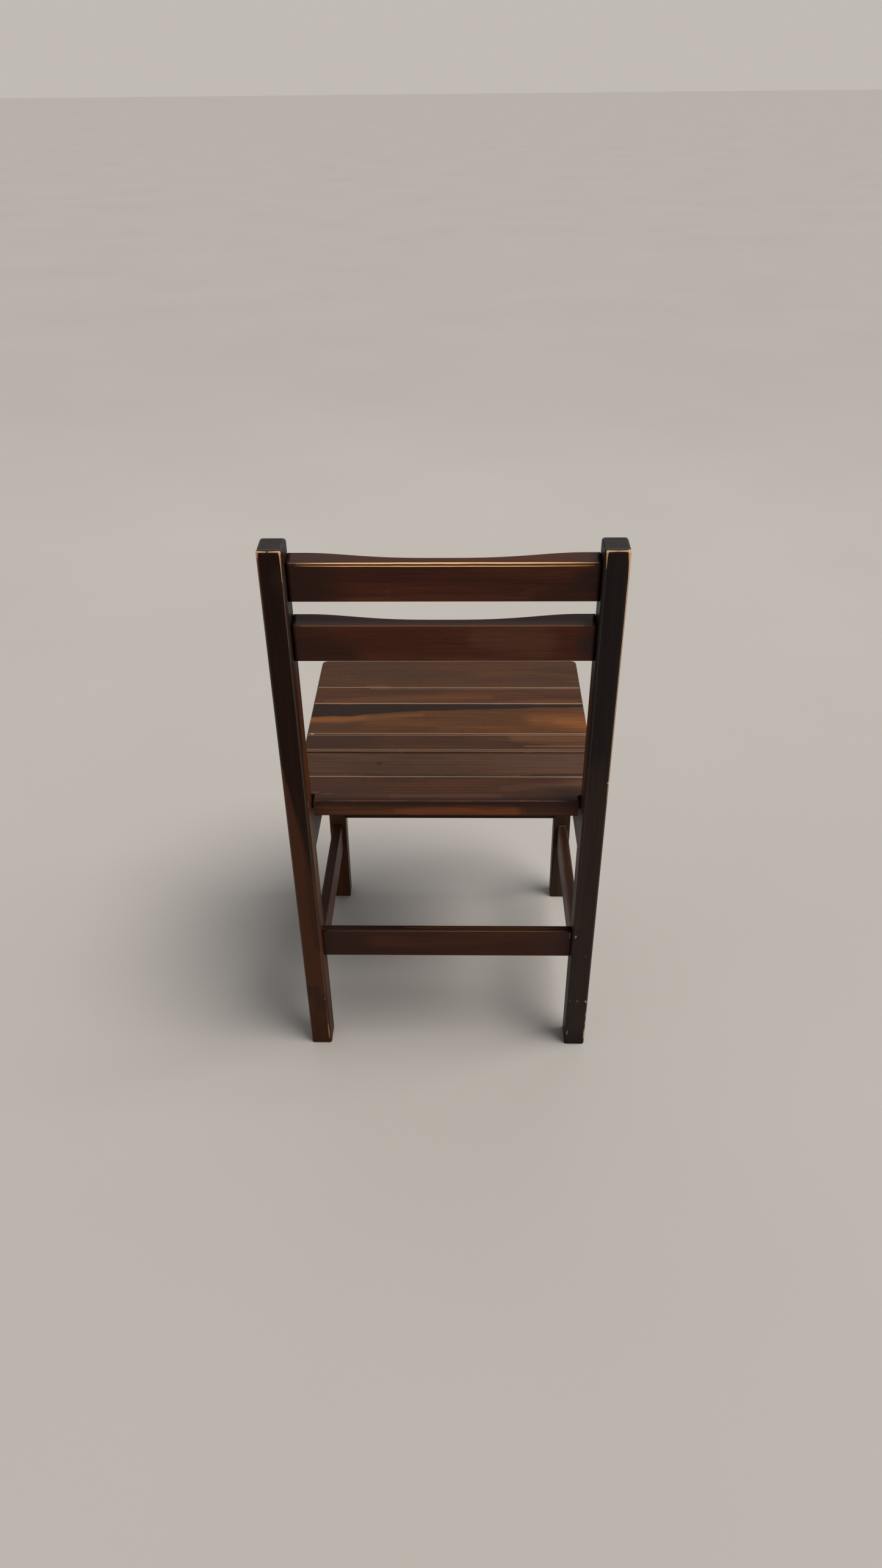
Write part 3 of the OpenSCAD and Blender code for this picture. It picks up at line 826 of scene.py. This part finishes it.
# stops on the boards are (across, y, radius), or (across, y, z, radius)
board_stains = (
    (   # front board: even, a little orange by the first seam
        ([(0.125, -0.1405, 0.003), (0.105, -0.1405, 0.006), (0.09, -0.1405, 0.003)],
         1.0, (112, 70, 38), 0.5),
        ([(0.14, -0.17, 0.010), (-0.02, -0.176, 0.014)], 1.0, (68, 46, 33), 0.5),
        ([(-0.03, -0.165, 0.010), (-0.17, -0.158, 0.013)], 1.0, (72, 49, 37), 0.5),
        seam_line(seam_y[1] - past, 0.0, 0.65, radius=0.0009),
    ),
    (
        ([(0.185, -0.0925, 0.004), (0.10, -0.098, 0.009), (-0.01, -0.104, 0.010),
          (-0.06, -0.106, 0.006)], 1.0, (108, 66, 36), 0.55),
        ([(-0.10, -0.093, 0.003), (-0.15, -0.092, 0.006), (-0.195, -0.0915, 0.005)],
         1.0, (112, 68, 38), 0.5),
        ([(0.12, -0.124, 0.005), (0.02, -0.122, 0.007)], 1.0, (66, 43, 31), 0.5),
        shaded_front(seam_y[1]),
        seam_line(seam_y[1] + past, 0.0, 0.4, left=0.12, radius=0.0008),
        seam_line(seam_y[2] - past, 0.0, 0.85, radius=0.0010),
    ),
    (
        ([(0.20, -0.020, 0.016), (0.14, -0.021, 0.013)], 0.9, (70, 46, 34), 0.6),
        ([(0.215, -0.036, 0.0085), (0.155, -0.038, 0.0090), (0.125, -0.042, 0.0060)],
         1.0, (140, 82, 38), 0.75),
        ([(0.155, -0.036, 0.0070), (0.09, -0.045, 0.0060), (0.04, -0.050, 0.0045)],
         1.0, (118, 74, 40), 0.55),
        ([(0.08, -0.006, 0.004), (0.02, -0.010, 0.006)], 1.0, (72, 47, 33), 0.5),
        ([(-0.13, -0.038, 0.014), (-0.20, -0.030, 0.024)], 1.0, (130, 78, 38), 0.7),
        ([(-0.165, -0.030, 0.008), (-0.21, -0.022, 0.016)], 1.0, (146, 86, 42), 0.6),
        # a broad dark streak along the front edge, thick at the left
        ([(0.215, seam_y[2], 0.0415), (0.145, seam_y[2], 0.0370), (0.1145, seam_y[2], 0.0310),
          (0.07, seam_y[2], 0.0237), (0.0, seam_y[2], 0.0190), (-0.100, seam_y[2], 0.0140),
          (-0.126, seam_y[2], 0.0112), (-0.21, seam_y[2], 0.0100)], 0.05, seat_dark, 0.96),
        shaded_front(seam_y[2]),
        seam_line(seam_y[3] - past, 0.0, 0.55, radius=0.0009),
        ([(0.1955, 0.0052, 0.0010), (0.1925, 0.0058, 0.0008)], 0.3, (206, 200, 194), 0.8),
    ),
    (
        ([(0.21, 0.026, 0.026), (0.12, 0.020, 0.016)], 0.9, (56, 39, 31), 0.6),
        ([(-0.10, 0.015, 0.010), (-0.16, 0.020, 0.014), (-0.20, 0.018, 0.014)],
         1.0, (112, 73, 45), 0.7),
        ([(-0.11, 0.040, 0.0014), (-0.195, 0.040, 0.0026)], 0.9, (132, 90, 56), 0.55),
        ([(-0.13, 0.029, 0.0012), (-0.20, 0.029, 0.0018)], 0.9, (74, 47, 32), 0.5),
        shaded_front(seam_y[3]),
        seam_line(seam_y[3] + past, 0.0, 0.5, radius=0.0009),
        seam_line(seam_y[4] - open_seam - second_line, 0.0, 0.5, radius=0.0009),
        seam_line(seam_y[4] - open_seam - past, 0.0, 0.45, radius=0.0008),
    ),
    (
        ([(0.0945, 0.0862, 0.0021), (0.0900, 0.0862, 0.0019)], 0.6, (40, 22, 15), 0.95),
        ([(0.13, 0.090, 0.010), (0.06, 0.088, 0.012)], 1.0, (70, 49, 37), 0.3),
        ([(0.13, 0.1165, 0.001), (0.07, 0.1185, 0.0032), (-0.03, 0.1190, 0.0032),
          (-0.09, 0.1190, 0.0015)], 0.7, (44, 31, 26), 0.7),
        ([(-0.10, 0.1185, 0.0012), (-0.14, 0.1165, 0.0038), (-0.19, 0.1160, 0.0034)],
         0.7, (44, 31, 26), 0.75),
        ([(-0.08, 0.085, 0.015), (-0.18, 0.080, 0.022)], 1.0, (96, 69, 55), 0.5),
        # painted shade down in the open seam
        seam_line(seam_y[4], 0.0010, 0.95, radius=0.0024, tint=(16, 9, 7)),
        seam_line(seam_y[5] - past, 0.0, 0.75, radius=0.0009),
    ),
    (
        ([(0.19, 0.150, 0.022), (0.10, 0.152, 0.012)], 1.0, (68, 46, 36), 0.5),
        ([(-0.095, 0.142, 0.0010), (-0.13, 0.148, 0.0040), (-0.155, 0.155, 0.0060),
          (-0.20, 0.158, 0.009)], 0.7, (60, 43, 36), 0.6),
        ([(0.07, 0.170, 0.004), (-0.03, 0.171, 0.006), (-0.07, 0.172, 0.004)],
         1.0, (116, 70, 48), 0.5),
        ([(-0.08, 0.150, 0.006), (-0.19, 0.135, 0.008)], 1.0, (104, 72, 54), 0.5),
        ([(0.176, 0.160, 0.0007), (0.168, 0.1595, 0.0005)], 0.6, seam_tan, 0.35),
        ([(0.160, 0.163, 0.0006), (0.152, 0.1625, 0.0005)], 0.6, seam_tan, 0.25),
        (rear_face((0.1686, seat_top - 0.0014, 0.0006), (0.1727, seat_top - 0.0046, 0.0007)),
         0.4, (186, 176, 168), 0.75),
        (rear_face((0.1728, seat_top - 0.0060, 0.0004), (0.1728, seat_top - 0.0078, 0.0003)),
         0.5, (150, 136, 126), 0.6),
        # rear edge: dark above, orange figure right of the middle
        (rear_face((0.065, 0.4325, 0.003), (0.02, 0.4340, 0.008), (-0.03, 0.4345, 0.010),
                   (-0.090, 0.4330, 0.006)), 1.0, (130, 72, 40), 0.75),
        (rear_face((0.15, 0.4315, 0.002), (0.06, 0.4320, 0.003)), 1.0, (112, 60, 36), 0.5),
        # painted shade along the bottom arris of the rear edge
        (rear_face((0.19, seat_under, 0.0014), (-0.19, seat_under, 0.0014)),
         0.5, (26, 16, 12), 0.9),
        (rear_face((-0.02, 0.4400, 0.0008), (-0.055, 0.4365, 0.0022), (-0.075, 0.4385, 0.001)),
         0.6, (96, 46, 26), 0.6),
        (rear_face((0.19, 0.4485, 0.0080), (-0.19, 0.4485, 0.0090)), 0.5, (50, 29, 24), 0.85),
        (rear_face((-0.11, 0.436, 0.005), (-0.19, 0.440, 0.012)), 1.0, (60, 39, 34), 0.6),
        shaded_front(seam_y[5]),
        (rear_face((0.19, seat_top - set_down, 0.0004), (0.10, seat_top - set_down, 0.0006),
                   (-0.17, seat_top - set_down, 0.0006)), 0.6, (146, 106, 90), 0.6),
    ),
)
front_y = seat_front_y
for number, (width, tones, stains) in enumerate(
        zip(board_widths, board_tones, board_stains), start=1):
    name = f"seat_board_{number}"
    rear_y = front_y + width - (open_seam if number == open_board else closed_seam)
    outline = [(-seat_half(front_y), front_y), (seat_half(front_y), front_y)]
    if number == len(board_widths):
        rear_y = seat_rear_y
        outline += [(seat_half(notch_y), notch_y), (notch_half, notch_y),
                    (notch_half, rear_y), (-notch_half, rear_y),
                    (-notch_half, notch_y), (-seat_half(notch_y), notch_y)]
    else:
        outline += [(seat_half(rear_y), rear_y), (-seat_half(rear_y), rear_y)]
    bm = board_from(outline, seat_under, seat_top)
    if number == 1:
        corners = [e for e in edges_along(bm, 2) if e.verts[0].co.y < front_y + slack]
        bmesh.ops.bevel(bm, geom=corners, offset=front_corner, offset_type="OFFSET",
                        segments=8, profile=0.5, affect="EDGES", material=-1)
    ease(bm, edges_at(bm, 2, seat_top), board_ease, 4)
    ease(bm, edges_at(bm, 2, seat_under), under_ease, 2, worn=0.0)
    piece_from(bm, name, stained_wood(
        name + "_stain", (0, 0, 0), (0.37 * number, 0.9 * number, 0.1 * number), tones,
        drift=0.9, lines=1.25, pores=0.7, shine=0.1, arris=0.3, polish=0.3, stains=stains,
        place=on_seat))
    front_y += width

# ---------------------------------------------------------------- aprons
# Rails under the seat, tenoned into the posts and legs: one on each side and
# one across the front, in the same dark wood as the legs.


def post_front_y(z):
    """Where the posts' leaning front faces are at a height."""
    return back_y + z * math.tan(rake) - post_depth / math.cos(rake)


rail_ease = 0.0015
long_edge = 0.1  # only a rail's edges from front to rear are longer
leg_inner = post_outer - leg_width
apron_height = 0.067
apron_low, apron_high = seat_under - apron_height, seat_under
apron_thick = 0.020
apron_inner = post_inner + 0.001
lengthwise_turn = (0, 0, -math.pi / 2)


def side_rail(name, side, x_near, x_far, low, high, tones, stains=()):
    """A rail from a front leg to the leaning front face of a post."""
    bm = box_of((min(side * x_near, side * x_far), back_y - leg_gap + joint_line, low),
                (max(side * x_near, side * x_far), back_y, high))
    for vert in bm.verts:
        if vert.co.y > back_y - leg_gap / 2:
            vert.co.y = post_front_y(vert.co.z) - joint_line
    lengthwise = [e for e in bm.edges
                  if abs(e.verts[0].co.y - e.verts[1].co.y) > long_edge]
    ease(bm, lengthwise, rail_ease, 3)
    return piece_from(bm, name, stained_wood(
        name + "_stain", lengthwise_turn, (0.5 * side, 0.3, low * 9), tones,
        shine=0.07, polish=0.2, stains=stains))


for side, name in ((1, "side_apron_left"), (-1, "side_apron_right")):
    side_rail(name, side, apron_inner, apron_inner + apron_thick,
              apron_low, apron_high, right_leg_tones)

apron_setback = 0.003
front_apron_y = back_y - leg_gap - leg_width + apron_setback
bm = box_of((-leg_inner + joint_line, front_apron_y, apron_low),
            (leg_inner - joint_line, front_apron_y + apron_thick, apron_high))
ease(bm, edges_along(bm, 0), rail_ease, 3)
piece_from(bm, "front_apron", stained_wood(
    "front_apron_stain", (0, 0, 0), (2.2, 0.3, 0.8), right_leg_tones, shine=0.07))

# ---------------------------------------------------------------- stretchers
# Four thin rails near the floor that tie the legs together: the side pair
# lowest, the front one higher, and the rear one leaning with the posts.

stretcher_height = 0.049
stretcher_shift = 0.0005
stretcher_x = post_outer - leg_width / 2 + stretcher_shift
stretcher_thick = 0.015
side_low = 0.107
side_high = side_low + stretcher_height
side_tones = ((50, 32, 24), (80, 54, 42), (104, 72, 54))
line_front, line_rear = -0.18, 0.12


def along_stretcher(x, z, radius):
    """A path along a side stretcher, from the front leg nearly to the post."""
    return [(x, line_front, z, radius), (x, line_rear, z, radius)]


def stretcher_line(x, radius, strength):
    """A pale line on a side stretcher's upper edge: worn lacquer, and painted highlight of the
    rounding.
    """
    return along_stretcher(x, side_high - 0.0004, radius), 0.5, arris_wear_and_highlight, strength


inner_face, outer_face = stretcher_x - stretcher_thick / 2, stretcher_x + stretcher_thick / 2
inner_edge, outer_edge = stretcher_x - 0.0071, stretcher_x + 0.0071
side_stains = {
    1: (([(inner_face, -0.20, 0.130, 0.022), (inner_face, 0.14, 0.130, 0.022)],
         0.1, (112, 76, 60), 0.75),
        stretcher_line(inner_edge, 0.0007, 0.6), stretcher_line(outer_edge, 0.0006, 0.4),
        ([(stretcher_x - 0.006, 0.098, side_high, 0.0012)], 0.4, (200, 190, 180), 0.8)),
    -1: (stretcher_line(-inner_edge, 0.0007, 0.5), stretcher_line(-outer_edge, 0.0006, 0.35),
         (along_stretcher(-stretcher_x, side_high, 0.005), 0.5, (42, 28, 20), 0.85)),
}
for side, name in ((1, "side_stretcher_left"), (-1, "side_stretcher_right")):
    side_rail(name, side, inner_face, outer_face, side_low, side_high,
              side_tones, side_stains[side])

front_low = 0.165
front_stretcher_y = back_y - leg_gap - leg_width / 2
bm = box_of((-leg_inner + joint_line, front_stretcher_y - stretcher_thick / 2, front_low),
            (leg_inner - joint_line, front_stretcher_y + stretcher_thick / 2,
             front_low + stretcher_height))
ease(bm, edges_along(bm, 0), rail_ease, 3)
piece_from(bm, "front_stretcher", stained_wood(
    "front_stretcher_stain", (0, 0, 0), (3.1, 0.6, 0.1), right_leg_tones, shine=0.07))

rear_low = 0.177
rear_recess = 0.011
rear_thick = 0.012
rear_stretcher_tones = ((46, 26, 20), (66, 37, 28), (88, 50, 35))
rear_high = rear_low + stretcher_height
rear_top = rear_recess + 0.0075  # a line along the middle of its top face
rear_middle = rear_low + 0.025
rear_joint = post_inner - 0.0006


def on_rear_stretcher(x, along, depth=rear_recess):
    """A point on the rear stretcher's back face, or deeper."""
    return on_post(x, depth, along)


rear_stretcher_stains = (
    ([(0.19, rear_middle, 0.045), (0.13, rear_middle, 0.020)],
     0.8, (52, 33, 27), 0.8),
    ([(-0.19, rear_middle, 0.045), (-0.14, rear_middle, 0.020)],
     0.8, (64, 41, 35), 0.7),
    # the top is painted dark: painted shadow of the seat above it
    ([(0.17, rear_high, rear_top, 0.0052), (-0.17, rear_high, rear_top, 0.0052)],
     0.3, (42, 28, 22), 0.95),
    ([(0.06, rear_high, rear_top, 0.0010), (0.0, rear_high, rear_top, 0.0036),
      (-0.08, rear_high, rear_top, 0.0046), (-0.13, rear_high, rear_top, 0.0030),
      (-0.165, rear_high, rear_top, 0.0008)], 0.8, (80, 49, 31), 0.75),
    # painted highlight on the top's rear rounding
    ([(0.17, rear_high - 0.0004, rear_recess + 0.0004, 0.0006),
      (-0.17, rear_high - 0.0004, rear_recess + 0.0004, 0.0006)], 0.5, (124, 98, 86), 0.55),
    # dark lines where it meets the posts: old stain, and painted shade of the joints
    ([(rear_joint, rear_low, 0.0013), (rear_joint, rear_high, 0.0013)], 0.5, (18, 12, 10), 0.8),
    ([(-rear_joint, rear_low, 0.0016), (-rear_joint, rear_high, 0.0016)],
     0.5, (16, 11, 10), 0.85),
    ([(-post_inner + 0.003, rear_high - 0.004, 0.0010),
      (-post_inner + 0.003, rear_high - 0.013, 0.0008)], 0.6, (120, 116, 110), 0.5),
)
bm = box_of((-post_inner + joint_line, -rear_recess - rear_thick, rear_low),
            (post_inner - joint_line, -rear_recess, rear_high))
ease(bm, edges_along(bm, 0), rail_ease, 3)
lean(bm)
piece_from(bm, "rear_stretcher", stained_wood(
    "rear_stretcher_stain", (0, 0, 0), (4.3, 0.2, 0.9), rear_stretcher_tones,
    shine=0.07, polish=0.15, stains=rear_stretcher_stains, place=on_rear_stretcher))

# ---------------------------------------------------------------- seat frame
# Unfinished hardwood cleats, bearer and corner blocks under the seat. They
# were never stained, and show saw-dull pale wood with darker growth lines.

raw_tones = ((134, 98, 60), (176, 138, 94), (202, 168, 124))
raw_parts = {
    "seat_cleat_left": (lengthwise_turn, 0.2), "seat_cleat_right": (lengthwise_turn, 1.4),
    "rear_bearer": ((0, 0, 0), 2.3), "corner_block_left": ((0, 0, -math.pi / 4), 3.1),
    "corner_block_right": ((0, 0, math.pi / 4), 3.9),
}
for name, (turn, offset) in raw_parts.items():
    material = stained_wood(
        name + "_raw", turn, (offset, offset, 0.3), raw_tones, drift=0.9, lines=1.0,
        pores=0.3, gloss=(0.62, 0.78), shine=0.3, bump=0.4, arris=0.0)
    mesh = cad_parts[name].data
    mesh.materials.clear()
    mesh.materials.append(material)

# ---------------------------------------------------------------- screws
# Countersunk steel wood screws that hold the boards and blocks, bright zinc
# with a little dulling.

screw_material, tree, shader = new_material("zinc_screws")
where = add(tree, "ShaderNodeTexCoord").outputs["Object"]
dulling = add(tree, "ShaderNodeTexNoise", {"Vector": where, "Scale": 900.0, "Detail": 4.0})
zinc = mixed(tree, dulling.outputs["Fac"], display(150, 150, 146), display(206, 206, 200))
zinc_gloss = ranged(tree, dulling.outputs["Fac"], 0.0, 1.0, 0.25, 0.5)
feed(tree, shader, {"Base Color": zinc, "Roughness": zinc_gloss, "Metallic": 1.0})
for name in ("seat_screws", "block_screws"):
    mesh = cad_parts[name].data
    mesh.materials.clear()
    mesh.materials.append(screw_material)
